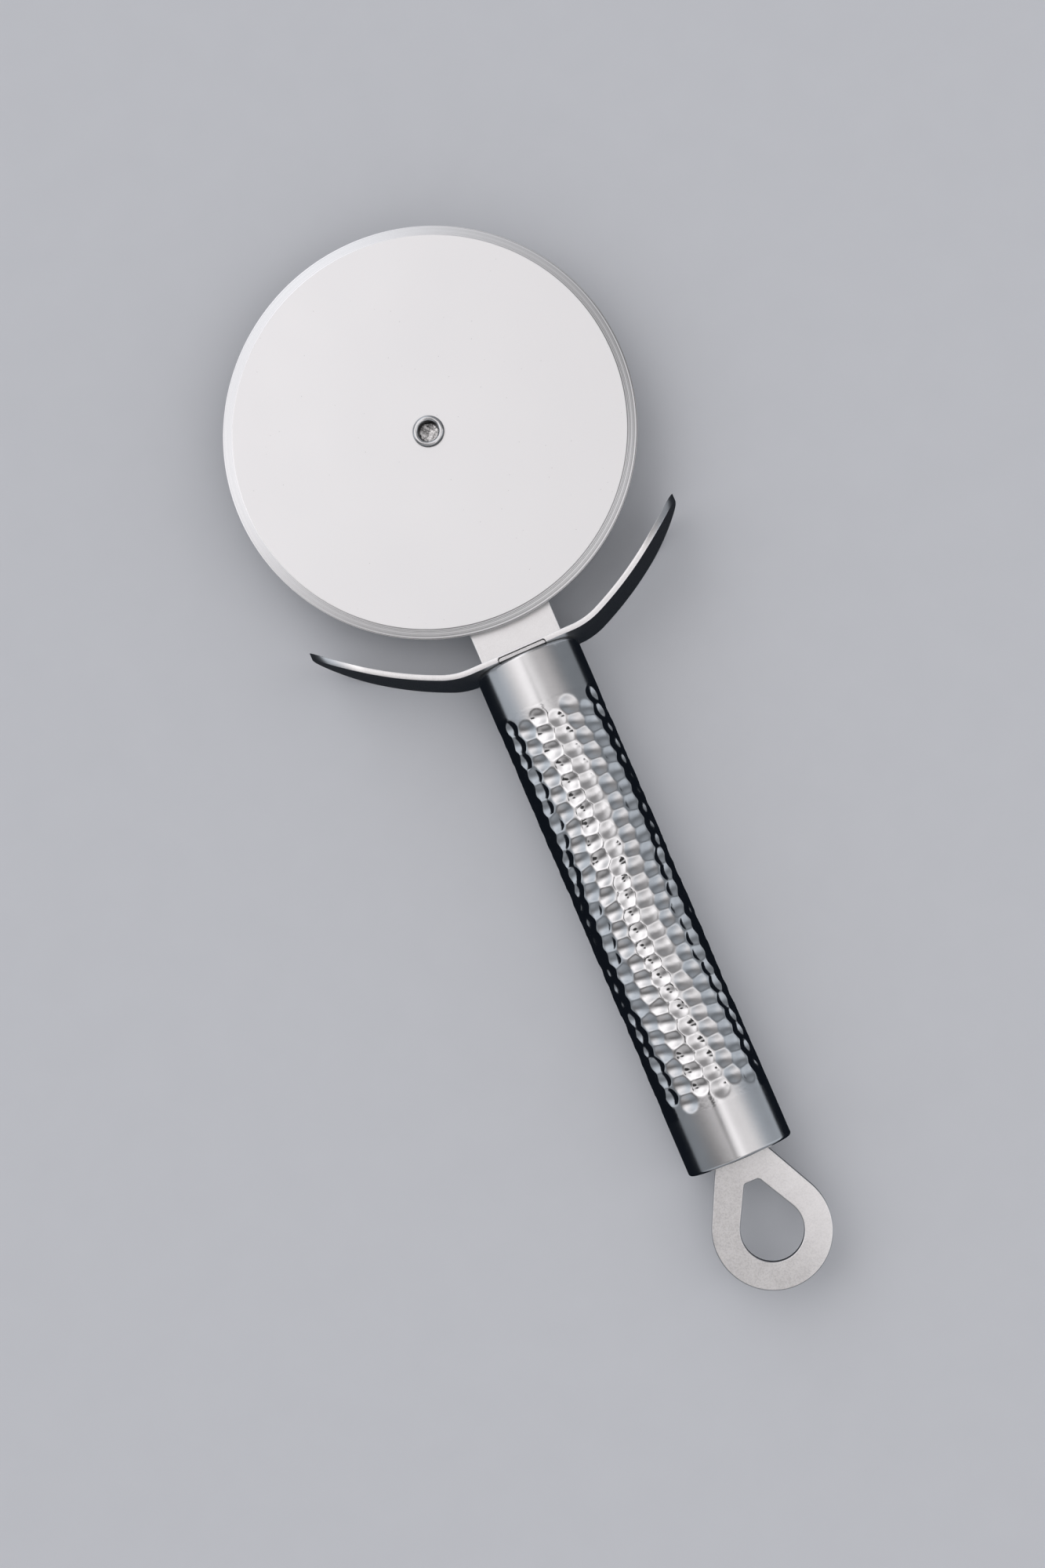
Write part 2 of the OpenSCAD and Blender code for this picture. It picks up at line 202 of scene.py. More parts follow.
def rim(round_r, low, high):
    """How a plate's edge runs from its upper face to its lower one: distance in from the outline,
    and height, with a quarter circle at either face."""
    inset, drop = quarter(round_r)
    return np.concatenate([inset, inset[::-1]]), np.concatenate([high - drop, (low + drop)[::-1]])


def turned(profile, centre, segments, closed, bump=None):
    """Surface of revolution about an upright axis through centre: each (radius, height) of the
    profile goes round a circle. bump(radius, height, angle) gives what every point's radius and
    height gain."""
    angle = np.linspace(0, 2 * np.pi, segments, endpoint=False)
    r, a = np.meshgrid(profile[:, 0], angle, indexing="ij")
    z = np.repeat(profile[:, 1:2], segments, 1)
    if bump:
        dr, dz = bump(r, z, a)
        r, z = r + dr, z + dz
    points = np.stack([centre[0] + r * np.cos(a), centre[1] + r * np.sin(a), z], -1)
    faces = grid_faces(len(profile), segments, wrap_rows=closed, wrap_columns=True)
    return points.reshape(-1, 3), faces


def pierced_plate(outline, outline_normals, hole, hole_normals, centre, low, high, round_r):
    """Flat plate with one hole: a grid whose columns are rays from centre and whose rows run over
    the upper face, round the outer edge, back under the lower face and up through the hole."""
    outline, hole = outline - centre, hole - centre
    ray = np.unwrap(np.arctan2(outline[:, 1], outline[:, 0]))
    hole_ray = np.arctan2(hole[:, 1], hole[:, 0])
    order = np.argsort(hole_ray)
    at = [np.interp(ray, hole_ray[order], v[order], period=2 * np.pi)
          for v in (hole[:, 0], hole[:, 1], hole_normals[:, 0], hole_normals[:, 1])]
    hole, hole_normals = np.stack(at[:2], 1), np.stack(at[2:], 1)
    hole_normals /= np.linalg.norm(hole_normals, axis=1)[:, None]
    inset, height = rim(round_r, low, high)
    outer = outline[None] - outline_normals[None] * inset[:, None, None]
    inner = (hole[None] + hole_normals[None] * inset[:, None, None])[::-1]
    plan = np.concatenate([outer, inner]) + centre
    z = np.concatenate([height, height[::-1]])
    z = np.repeat(z[:, None], len(outline), 1)
    points = np.concatenate([plan, z[..., None]], -1).reshape(-1, 3)
    return points, grid_faces(len(z), len(outline), wrap_rows=True, wrap_columns=True)


def touching_line(r_low, r_high, c):
    """Angle of the outward normal of the line that touches a circle of radius r_low at the origin
    and one of radius r_high at the point c, on their right side."""
    return np.arctan2(c[1], c[0]) - np.arccos((r_low - r_high) / np.hypot(*c))


def smooth_ramp(x):
    """0 below 0, 1 above 1, and the smooth cubic 3x^2 - 2x^3 between."""
    x = np.clip(x, 0, 1)
    return x * x * (3 - 2 * x)


# The pieces' forms

def wheel_form():
    """Disc turned from a profile: bore, flat face, bevel to a thin edge, and the same below."""
    bore_round, shoulder_round, edge_round = 0.1, 0.3, 0.06
    low, high = wheel_low[2], wheel_high[2]
    mid = (low + high) / 2
    flat_r = WHEEL_R - BEVEL_W
    bore = SHANK_R + TURN_FIT
    corners = [(bore, low), (flat_r, low), (WHEEL_R, mid - EDGE_T / 2),
               (WHEEL_R, mid + EDGE_T / 2), (flat_r, high), (bore, high)]
    radii = [bore_round, shoulder_round, edge_round]
    profile, _ = rounded(corners, radii + radii[::-1], steps=3)
    return [turned(profile, (0, WHEEL_Y), 288, closed=True)]


def rivet_form():
    """Semi-tubular rivet, turned from a profile that starts and ends on the axis: oval head, shank,
    a lip rolled outward over the wheel, a tapering hollow and its floor. Sums of a few waves round
    the axis make the lip a little uneven, with one small burr, and waves across the floor make it
    rough."""
    dome_edge, corner, crease, foot = 0.15, 0.05, 0.02, 0.12
    lip_fade, burr_h, burr_w, burr_at = 0.3, 0.2, 0.09, -0.35
    head_z = neck_low[2]
    head_r = (rivet_high[0] - rivet_low[0]) / 2
    dome_r = (head_r ** 2 + HEAD_T ** 2) / (2 * HEAD_T)
    crown_z = rivet_high[2]
    bead_r = (ROLL_D - HOLLOW_D) / 4
    bead_mid_r = (ROLL_D + HOLLOW_D) / 4
    roll_z = crown_z - bead_r
    floor_z = crown_z - HOLLOW_DEPTH
    a = np.linspace(0, np.arcsin((head_r - dome_edge) / dome_r), 14)
    dome = np.stack([dome_r * np.sin(a), head_z - HEAD_T + dome_r * (1 - np.cos(a))], 1)
    shank = np.array([
        [head_r, head_z - corner], [head_r - corner, head_z], [SHANK_R + corner, head_z],
        [SHANK_R, head_z + corner], [SHANK_R, roll_z - crease], [SHANK_R + crease, roll_z],
        [bead_mid_r + bead_r - crease, roll_z]])
    b = np.radians(np.linspace(2, 178, 17))
    lip = np.stack([bead_mid_r + bead_r * np.cos(b), roll_z + bead_r * np.sin(b)], 1)
    down = np.linspace(0.05, 1, 9)[:, None]
    wall_top = np.array([HOLLOW_D / 2, roll_z])
    wall_end = np.array([FLOOR_D / 2, floor_z + foot])
    wall = wall_top + (wall_end - wall_top) * down
    floor_r = np.linspace(FLOOR_D / 2 - 0.1, 0, 18)
    floor = np.stack([floor_r, np.full(len(floor_r), floor_z)], 1)
    profile = np.concatenate([dome, shank, lip, wall, floor])

    def uneven(r, z, a):
        """What the waves and the burr add to radius and height."""
        up_lip = (z - roll_z) / bead_r
        on_lip = smooth_ramp(up_lip) * smooth_ramp((r - HOLLOW_D / 2 + lip_fade) / lip_fade)
        lip_wave = 0.035 * np.sin(2 * a + 0.6) + 0.02 * np.sin(5 * a + 2.1) \
            + 0.012 * np.sin(11 * a + 4.0)
        from_burr = np.mod(a - burr_at + np.pi, 2 * np.pi) - np.pi
        burr = burr_h * np.exp(-(from_burr / burr_w) ** 2)
        low_lip = smooth_ramp(1.4 - up_lip) * smooth_ramp((r - bead_mid_r) / bead_r)
        on_floor = (z < floor_z + 0.01) * (z > head_z) * smooth_ramp(r / 0.4)
        u, v = r * np.cos(a), r * np.sin(a)
        rough = (np.sin(2.3 * u + 1.4 * v + 1.0) + np.sin(3.1 * v - 2.2 * u + 0.4)
                 + 0.7 * np.sin(5.3 * u + 3.7 * v + 2.2) + 0.6 * np.sin(7.1 * v - 4.9 * u))
        outward = (lip_wave - 0.05) * on_lip + burr * on_lip * low_lip
        return outward, on_floor * (0.035 * rough + 0.09)

    return [turned(profile, (0, WHEEL_Y), 144, closed=False, bump=uneven)]


def washer_form():
    """Flat ring with softened edges, turned from a rectangle."""
    inner_round, outer_round = 0.08, 0.15
    inner, outer = SHANK_R + SLOT_FIT, (washer_high[0] - washer_low[0]) / 2
    low, high = washer_low[2], washer_high[2]
    corners = [(inner, low), (outer, low), (outer, high), (inner, high)]
    profile, _ = rounded(corners, [inner_round, outer_round, outer_round, inner_round], steps=3)
    return [turned(profile, (0, WHEEL_Y), 128, closed=True)]


def neck_form():
    """Bar with a round end, square shoulders and a tang, pierced for the rivet. The two arcs of the
    round end are a hair under half the bar's width, so that they never overlap."""
    shoulder_round, inside_round, tang_round, hair = 0.3, 0.1, 0.5, 0.001
    half = (neck_high[0] - neck_low[0]) / 2
    shoulder = guard_low[1] + GUARD_T
    top, end = neck_high[1], neck_low[1]
    tang = TANG_W / 2
    corners = [(half, shoulder), (half, top), (-half, top), (-half, shoulder), (-tang, shoulder),
               (-tang, end), (tang, end), (tang, shoulder)]
    radii = [shoulder_round, half - hair, half - hair, shoulder_round,
             inside_round, tang_round, tang_round, inside_round]
    outline, normals = rounded(corners, radii, steps=6, spacing=0.7)
    a = np.linspace(0, 2 * np.pi, 256, endpoint=False)
    ring = np.stack([np.cos(a), np.sin(a)], 1)
    centre = np.array([0, WHEEL_Y])
    hole = centre + ring * (SHANK_R + SLOT_FIT)
    return [pierced_plate(
        outline, normals, hole, ring, centre, neck_low[2], neck_high[2], PLATE_ROUND)]


def eye_form():
    """Plate that flares from the tube to a round end, with a drop-shaped hole and a tang. The
    circles are roundings of two corners each, where the tangent lines meet the level of the
    circle's bottom."""
    root_round, shoulder_round, inside_round, tang_round = 0.5, 0.3, 0.1, 0.5
    root = np.array([EYE_ROOT_W / 2, EYE_REACH])
    side = touching_line(EYE_R, 0, root)
    foot_x = EYE_R * (1 + np.sin(side)) / np.cos(side)
    inside = EYE_REACH + REAR_RECESS
    tang, end = EYE_TANG_W / 2, eye_high[1] - EYE_Y
    corners = [(foot_x, -EYE_R), tuple(root), (EYE_ROOT_W / 2, inside), (tang, inside), (tang, end)]
    corners += [(-x, y) for x, y in corners[::-1]]
    radii = [EYE_R, root_round, shoulder_round, inside_round, tang_round]
    outline, normals = rounded(corners, radii + radii[::-1], steps=6, spacing=0.4)
    corner = np.array([HOLE_TOP_W / 2 - HOLE_CORNER_R, HOLE_REACH - HOLE_CORNER_R])
    slope = touching_line(HOLE_R, HOLE_CORNER_R, corner)
    top_x = (HOLE_R - HOLE_REACH * np.sin(slope)) / np.cos(slope)
    low_x = HOLE_R * (1 + np.sin(slope)) / np.cos(slope)
    hole, hole_normals = rounded(
        [(low_x, -HOLE_R), (top_x, HOLE_REACH), (-top_x, HOLE_REACH), (-low_x, -HOLE_R)],
        [HOLE_R, HOLE_CORNER_R, HOLE_CORNER_R, HOLE_R], steps=12, spacing=0.15)
    centre = np.array([0, EYE_Y])
    return [pierced_plate(
        outline + centre, normals, hole + centre, hole_normals, centre,
        eye_low[2], eye_high[2], PLATE_ROUND)]


def guard_face(x, inner):
    """Distance of the strip's outer or inner face from the outer face's flat, seen from above, at
    distance x from the middle: a flat, an arc and a longer arc, round the same centres for both."""
    x = np.abs(x)
    t = GUARD_T if inner else 0
    flat = GUARD_FLAT / 2
    wing_x = flat + (BEND_R - WING_R) * np.sin(BEND_ANGLE)
    wing_y = BEND_R + (WING_R - BEND_R) * np.cos(BEND_ANGLE)
    bend = BEND_R - np.sqrt(np.maximum((BEND_R - t) ** 2 - (x - flat) ** 2, 0))
    wing = wing_y - np.sqrt((WING_R - t) ** 2 - (x - wing_x) ** 2)
    return np.where(x < flat, t, np.where(x < flat + (BEND_R - t) * np.sin(BEND_ANGLE), bend, wing))


def guard_outline(end_z, marks):
    """Upper right quarter of the strip's outline, seen along the handle: upright at the end as far
    as the corner's quarter circle, with points at the heights end_z, and level to the middle, with
    points at the distances marks too. Gives x, z and the angle of the outward normal."""
    corner = np.radians(90) * np.linspace(0, 1, 41)[:-1]
    bend = GUARD_FLAT / 2 + BEND_R * np.sin(BEND_ANGLE) * np.linspace(0, 1, 24)
    level = np.unique(np.concatenate([np.linspace(0, GUARD_SPAN - TIP_R, 90), bend, marks]))[::-1]
    x = np.concatenate([
        np.full(len(end_z), GUARD_SPAN), GUARD_SPAN - TIP_R + TIP_R * np.cos(corner), level])
    z = np.concatenate([
        end_z, GUARD_HALF_W - TIP_R + TIP_R * np.sin(corner), np.full(len(level), GUARD_HALF_W)])
    return x, z, np.concatenate([np.zeros(len(end_z)), corner, np.full(len(level), np.pi / 2)])


def guard_rim(x, z, depth, normal, inset, lift):
    """Rings round the outline, whose upper half is given and whose lower half mirrors it: the outer
    face's rounding, then the inner face's the other way."""
    ring_x = np.concatenate([x, x[-2:0:-1]])
    ring_z = np.concatenate([z, -z[-2:0:-1]])
    ring_depth = np.concatenate([depth, depth[-2:0:-1]])
    ring_normal = np.concatenate([normal, normal[-2:0:-1] * [1, -1]])
    rows = []
    for inner, order in ((False, slice(None)), (True, slice(None, None, -1))):
        for d, e in zip(inset[order], lift[order]):
            px, pz = ring_x - ring_normal[:, 0] * d, ring_z - ring_normal[:, 1] * d
            y = guard_face(px, inner) + (-e if inner else ring_depth + e)
            rows.append(np.stack([px, GUARD_Y + y, AXIS_Z + pz], 1))
    return np.concatenate(rows), grid_faces(len(rows), len(ring_x), wrap_columns=True)


def guard_fill(x, z, depth, across, inner):
    """Outer or inner face: straight lines across, from the lower to the upper half of the innermost
    ring, with the tang's slot left open between two lines across and two along."""
    y = guard_face(x, inner) + (0 if inner else depth)
    points = np.stack(np.broadcast_arrays(
        x[:, None], GUARD_Y + y[:, None], AXIS_Z + z[:, None] * across), -1).reshape(-1, 3)
    faces = grid_faces(len(x), len(across))
    middle = points[faces].mean(1)
    open_slot = (np.abs(middle[:, 0]) < SLOT_X) & (np.abs(middle[:, 2] - AXIS_Z) < SLOT_Z)
    return points, faces[~open_slot]


def slot_walls(x, z):
    """The slot's four sides, between the channel's floor and the inner face, through those of the
    faces' lines x and z that lie on or in the slot."""
    hair = 1e-6
    inside = x[np.abs(x) < SLOT_X + hair][::-1]
    side = z[np.abs(z) < SLOT_Z + hair]
    loop = np.concatenate([
        np.stack([inside, np.full(len(inside), -SLOT_Z)], 1)[:-1],
        np.stack([np.full(len(side), SLOT_X), side], 1)[:-1],
        np.stack([inside[::-1], np.full(len(inside), SLOT_Z)], 1)[:-1],
        np.stack([np.full(len(side), -SLOT_X), side[::-1]], 1)[:-1]])
    walls = np.concatenate([
        np.stack([loop[:, 0], np.full(len(loop), GUARD_Y + y), AXIS_Z + loop[:, 1]], 1)
        for y in (CHANNEL_DEPTH, GUARD_T)])
    return walls, grid_faces(2, len(loop), wrap_columns=True)


def guard_form():
    """Bent strip with rounded ends: quarter circles round its edges, and straight lines across that
    fill both faces. The locating key's channel, with chamfered sides, lowers the outer face."""
    floor, side_depth = CHANNEL_X - KEY_CHAMFER, CHANNEL_DEPTH - KEY_CHAMFER
    inset, lift = quarter(GUARD_ROUND)
    full = GUARD_HALF_W - inset[0]
    across = np.sort(np.concatenate([np.linspace(-1, 1, 9), [-SLOT_Z / full, SLOT_Z / full]]))
    end_z = (GUARD_HALF_W - TIP_R) * across[(across > -0.01) & (across < 0.99)]
    x, z, angle = guard_outline(
        end_z, [SLOT_X, floor - SUPPORT, floor, CHANNEL_X, CHANNEL_X + SUPPORT])
    depth = np.where(x <= floor, CHANNEL_DEPTH, np.where(x < CHANNEL_X, side_depth, 0))
    # the channel's upright side: the line at its edge twice, once at each depth
    at = np.flatnonzero(np.isclose(x, CHANNEL_X))[0]
    x, z, angle = (np.insert(v, at, v[at]) for v in (x, z, angle))
    depth = np.insert(depth, at, 0.0)
    depth[at + 1] = side_depth
    # the left half mirrors the right one, and the line in the middle is there once
    x, z, depth = (
        np.concatenate([v, sign * v[-2::-1]]) for v, sign in ((x, -1), (z, 1), (depth, 1)))
    normal = np.stack([np.cos(angle), np.sin(angle)], 1)
    normal = np.concatenate([normal, normal[-2::-1] * [-1, 1]])
    # the innermost ring's points that the lines across join
    joined = slice(len(end_z), len(x) - len(end_z))
    px, pz = (x - normal[:, 0] * inset[0])[joined], (z - normal[:, 1] * inset[0])[joined]
    return [guard_rim(x, z, depth, normal, inset, lift),
            guard_fill(px, pz, depth[joined], across, inner=False),
            guard_fill(px, pz, depth[joined], across, inner=True),
            slot_walls(px, across * full)]


def hammered_depth(around, along):
    """Depth of the hammered bowls below the tube's plain surface, at places given by their distance
    round and along the tube. Bowls sit on a staggered grid that sways from side to side along the
    tube, each nudged a little more by fixed sines. A bowl is a hyperbola turned about its axis: a
    round bottom that goes over into straight walls, and a slight lean, as no blow falls quite
    square. The deepest bowl counts, which leaves six-sided ridges. A soft maximum (the logarithm of
    a sum of exponentials, the plain surface being one term) rounds them."""
    bowl_depth, bottom_curve, wall_r, crisp = 0.50, 0.24, 2.1, 25.0
    lean_by, nudge_by, deeper_by = 0.045, 0.5, 0.06
    length = FRONT_Y - REAR_Y - FRONT_COLLAR - REAR_COLLAR
    rows = round(length / DIMPLE_PITCH) - 1
    pitch = length / (rows + 1)
    girth = 2 * np.pi * TUBE_R
    columns = 2 * round(girth / (2 * DIMPLE_STEP))
    step = girth / columns
    around = around - LINE_SHIFT - SWAY * np.cos(2 * np.pi * along / SWAY_L)
    total = np.ones_like(around)
    near_column = np.round(around / step)
    for di in range(-2, 3):
        i = near_column + di
        wrapped = np.mod(i, columns)
        first = pitch * (0.75 + 0.5 * np.mod(wrapped, 2))
        near_row = np.round((along - first) / pitch)
        for dj in range(-1, 2):
            j = near_row + dj
            seed = wrapped * 12.9898 + j * 78.233
            nudge_a = nudge_by * np.sin(seed * 1.7 + 0.3) * np.sin(seed * 5.1)
            nudge_b = nudge_by * np.sin(seed * 2.3 + 1.9) * np.sin(seed * 4.3 + 0.7)
            deeper = deeper_by * np.sin(seed * 3.1 + 0.5)
            off_a = around - i * step - nudge_a
            off_b = along - first - j * pitch - nudge_b
            lean = off_a * np.sin(seed * 2.9 + 0.8) + off_b * np.sin(seed * 3.7 + 2.6)
            bowl = np.sqrt(wall_r ** 2 + off_a ** 2 + off_b ** 2) - wall_r
            rise = bottom_curve * wall_r * bowl + lean_by * lean
            real = (j >= 0) & (j < rows)
            total += np.where(real, np.exp(crisp * (bowl_depth + deeper - rise)), 0)
    return np.log(total) / crisp


def tube_form():
    """Tube as one closed grid: circles along a section that runs over the hammered outside, round
    the front edge, back through the bore and round the rear edge."""
    columns, hammered_rows, collar_rows = 264, 316, 8
    margin, gap, mouth_cut = 0.4, 0.2, 0.12
    bore_r = TUBE_R - TUBE_WALL

    def at_rear(section):
        """The same stretch of section at the tube's other end, in its order along the section."""
        return np.stack([section[::-1, 0], REAR_Y + FRONT_Y - section[::-1, 1]], 1)

    hammered = np.linspace(
        REAR_Y + REAR_COLLAR - margin, FRONT_Y - FRONT_COLLAR + margin, hammered_rows)
    outside_y = np.concatenate([
        np.linspace(REAR_Y + END_ROUND + SUPPORT, hammered[0] - gap, collar_rows),
        hammered,
        np.linspace(hammered[-1] + gap, FRONT_Y - END_ROUND - SUPPORT, collar_rows)])
    outside = np.stack([np.full(len(outside_y), TUBE_R), outside_y], 1)
    q = np.radians(90) * np.linspace(0, 1, 7)
    front = np.stack([TUBE_R - END_ROUND + END_ROUND * np.cos(q),
                      FRONT_Y - END_ROUND + END_ROUND * np.sin(q)], 1)
    mouth = np.array([
        [bore_r + mouth_cut + SUPPORT, FRONT_Y], [bore_r + mouth_cut, FRONT_Y],
        [bore_r, FRONT_Y - mouth_cut], [bore_r, FRONT_Y - mouth_cut - SUPPORT]])
    section = np.concatenate([outside, front, mouth, at_rear(mouth), at_rear(front)])
    angle = np.linspace(0, 2 * np.pi, columns, endpoint=False)
    r, a = np.meshgrid(section[:, 0], angle, indexing="ij")
    y = np.repeat(section[:, 1:2], columns, 1)
    n = len(outside)
    r[:n] -= hammered_depth(a[:n] * TUBE_R, y[:n] - REAR_Y - REAR_COLLAR)
    points = np.stack([r * np.sin(a), y, AXIS_Z + r * np.cos(a)], -1).reshape(-1, 3)
    return [(points, grid_faces(len(section), columns, wrap_rows=True, wrap_columns=True))]


# Materials

class Number:
    """A number that varies over a surface: a shader socket whose Python operators add Math
    nodes."""

    def __init__(self, tree, socket):
        self.tree, self.socket = tree, socket

    def math(self, operation, *values):
        return self.tree.add(
            "ShaderNodeMath", {"operation": operation}, dict(enumerate(values)))

    def __add__(self, other):
        return self.math("ADD", self, other)

    def __sub__(self, other):
        return self.math("SUBTRACT", self, other)

    def __rsub__(self, other):
        return self.math("SUBTRACT", other, self)

    def __mul__(self, other):
        return self.math("MULTIPLY", self, other)

    def __pow__(self, power):
        return self.math("POWER", self, power)

    def __rpow__(self, base):
        return self.math("POWER", base, self)

    __radd__ = __add__
    __rmul__ = __mul__


class Tree:
    """A node tree, of a material or the world, with one method that adds any node."""

    def __init__(self, nodes_of):
        nodes_of.use_nodes = True
        self.nodes, self.links = nodes_of.node_tree.nodes, nodes_of.node_tree.links
        self.nodes.clear()

    def add(self, kind, settings=None, values=None, output=0):
        """Adds a node: its settings first, then the values or links of its sockets. Returns an
        output."""
        node = self.nodes.new(kind)
        for name, value in (settings or {}).items():
            setattr(node, name, value)
        for name, value in (values or {}).items():
            if isinstance(value, Number):
                self.links.new(value.socket, node.inputs[name])
            else:
                node.inputs[name].default_value = value
        if not node.outputs:
            return None
        return Number(self, node.outputs[output])

    def coordinates(self):
        """Place on the piece in millimetres, and its three numbers."""
        place = self.vector("SCALE", {0: self.add("ShaderNodeTexCoord", output=3), "Scale": 1 / MM})
        return place, [
            self.add("ShaderNodeSeparateXYZ", values={0: place}, output=i) for i in range(3)]

    def vector(self, operation, values, output=0):
        """A Vector Math node. Output 1 is its number, where the operation gives one."""
        return self.add("ShaderNodeVectorMath", {"operation": operation}, values, output)

    def noise(self, place, scale, detail=2.0, roughness=0.5, stretch=None):
        """Noise from 0 to 1 with scale waves per millimetre. Along each axis, stretch multiplies
        how closely they follow each other."""
        if stretch:
            place = self.vector("MULTIPLY", {0: place, 1: stretch})
        return self.add(
            "ShaderNodeTexNoise", {"noise_dimensions": "3D"},
            {"Vector": place, "Scale": scale, "Detail": detail, "Roughness": roughness})

    def step(self, value, low, high):
        """0 where value is below low, 1 above high, and smooth between."""
        return self.add("ShaderNodeMapRange", {"interpolation_type": "SMOOTHSTEP"},
                        {"Value": value, "From Min": low, "From Max": high})

    def mix(self, a, b, factor):
        """Colour a where factor is 0, colour b where it is 1."""
        return self.add(
            "ShaderNodeMix", {"data_type": "RGBA"}, {0: factor, 6: a, 7: b}, output=2)

    def surface(self, colour, roughness, height, depth_mm):
        """Metal surface from a colour, a roughness and a height that Bump turns into a normal."""
        normal = self.add("ShaderNodeBump", values={
            "Strength": 1.0, "Distance": depth_mm * MM, "Height": height})
        shader = self.add("ShaderNodeBsdfPrincipled", values={
            "Base Color": colour, "Metallic": 1.0, "Roughness": roughness, "Normal": normal})
        self.add("ShaderNodeOutputMaterial", values={"Surface": shader})


def grey(level, warm=0.0):
    """A nearly neutral colour; warm above 0 leans to yellow, below 0 to blue."""
    return (level * (1 + warm), level, level * (1 - warm), 1)


def new_material(name):
    """A new material and its tree."""
    material = bpy.data.materials.new(name)
    return material, Tree(material)


def wheel_finish():
    """Fine matt face with rare pits, and a bevel ground in rings about the wheel's axis, coarser
    toward the handle and its right, where painted shade also darkens it."""
    material, t = new_material("wheel_ground_steel")
    place, (x, y, _) = t.coordinates()
    bevel_from, blend = WHEEL_R - BEVEL_W, 0.05
    from_axis = (x ** 2 + (y - float(WHEEL_Y)) ** 2) ** 0.5
    on_bevel = t.step(from_axis, bevel_from - blend, bevel_from + blend)
    rings = t.add("ShaderNodeTexNoise", {"noise_dimensions": "1D"},
                  {"W": from_axis, "Scale": 3.2, "Detail": 3.0, "Roughness": 0.7})
    # Coarser grinding toward the handle and its right, and painted shade there on the bevel
    coarse_and_shaded = t.step(x * 0.6 - (y - float(WHEEL_Y)) * 0.8, -5.0, 40.0)
    rings = t.step(rings, 0.34, 0.62)
    grain = t.noise(place, 5.0, 3, 0.65)
    cloud = t.noise(place, 0.045, 3, 0.55)
    cells = t.add("ShaderNodeTexVoronoi", {"feature": "F1"}, {"Vector": place, "Scale": 0.42})
    pits = 1 - t.step(cells, 0.02, 0.05)
    face = t.mix(grey(0.90, 0.002), grey(0.97, 0.0), grain * 0.55 + cloud * 0.45)
    face = t.mix(face, grey(0.5), pits * 0.7)
    # Painted shade: the bevel's ring lines turn dark on the side toward the handle and its right
    bright = 1 - coarse_and_shaded * (1 - rings) - (1 - rings) * 0.12
    bevel = t.mix(grey(0.31, -0.01), grey(0.95, -0.005), bright)
    colour = t.mix(face, bevel, on_bevel)
    face_rough = grain * 0.08 + cloud * 0.10 + 0.36
    roughness = (1 - on_bevel) * face_rough + on_bevel * (rings * 0.2 + 0.26)
    height = (grain * 0.5 - pits) * (1 - on_bevel) + rings * on_bevel * (coarse_and_shaded * 2.4 + 0.5)
    t.surface(colour, roughness, height, 0.004)
    return material


def satin_finish(name, level, warm, rough, streak_turn=0.0, contrast=1.0, worn_side=(0, 0, 0),
                 grain=3.4, top=None):
    """Tumbled plate: speckle of grain waves per millimetre, faint clouds, and drawn-out streaks
    from brushing across it, turned by streak_turn degrees. The dot product of worn_side and the
    place from the eye's middle gives how much painted sheen, a painted highlight, lightens a spot,
    from none below -0.2 to most above 1.6. Edges just below the upper face, at the height top, get
    a painted highlight too."""
    edge_from, edge_to = 0.20, 0.02
    material, t = new_material(name)
    place, (_, _, z) = t.coordinates()
    turned_place = t.add("ShaderNodeMapping", {"vector_type": "POINT"},
                         {"Vector": place, "Rotation": (0, 0, np.radians(streak_turn))})
    speckle = t.noise(place, grain, 4, 0.7)
    cloud = t.noise(place, 0.16, 3, 0.6)
    streaks = t.noise(turned_place, 1.0, 4, 0.65, stretch=(0.16, 3.2, 1.0))
    strokes = t.step(t.noise(turned_place, 0.35, 2, 0.5), 0.40, 0.62)
    light = t.step(speckle, 0.34, 0.60) * 0.55 + cloud * 0.2 + streaks * strokes * 0.3
    colour = t.mix(grey(level * (1 - 0.34 * contrast), warm), grey(level, warm * 0.6), light)
    # Painted highlight: one side of the plate is lightened, a painted sheen
    if any(worn_side):
        along = t.vector("DOT_PRODUCT", {0: place, 1: worn_side}, output=1)
        along = along - float(np.dot(worn_side, (0, EYE_Y, 0)))
        worn = t.step(along + cloud * 0.6, -0.2, 1.6) * (speckle * 0.5 + 0.45)
        colour = t.mix(colour, grey(1.0, warm * 0.4), worn)
    if top is not None:
        # Painted highlight along the edges just below the upper face
        below = 1 - t.step(z, float(top) - edge_from, float(top) - edge_to)
        colour = t.mix(colour, grey(1.0), below * 0.85)
    roughness = speckle * 0.12 + streaks * 0.10 + (rough - 0.08)
    height = (speckle * 0.8 + streaks * strokes * 0.7) * contrast
    t.surface(colour, roughness, height, 0.02 / grain)
    return material


def polished_finish():
    """Polished tube: soft wipe marks, hair-fine lines round it on the smooth collars, and a faint
    swell of the metal on the hammered part."""
    material, t = new_material("tube_polished_steel")
    place, (_, y, _) = t.coordinates()
    front_edge, rear_edge = FRONT_Y - FRONT_COLLAR, REAR_Y + REAR_COLLAR
    collar = t.step(y, front_edge - 0.2, front_edge + 0.6) \
        + (1 - t.step(y, rear_edge - 0.6, rear_edge + 0.2))
    smear = t.noise(place, 0.22, 3, 0.6)
    hair = t.noise(place, 1.0, 3, 0.6, stretch=(0.25, 9.0, 0.25))
    fine = t.noise(place, 2.2, 3, 0.6)
    swell = t.noise(place, 0.55, 2, 0.5)
    colour = t.mix(grey(0.66, 0.0), grey(0.80, -0.004), smear * 0.6 + fine * 0.4)
    roughness = smear * 0.05 + fine * 0.03 + collar * 0.08 + 0.06
    height = hair * collar * 0.5 + fine * 0.35 + (swell - 0.5) * (1 - collar) * 8.0
    t.surface(colour, roughness, height, 0.0035)
    return material


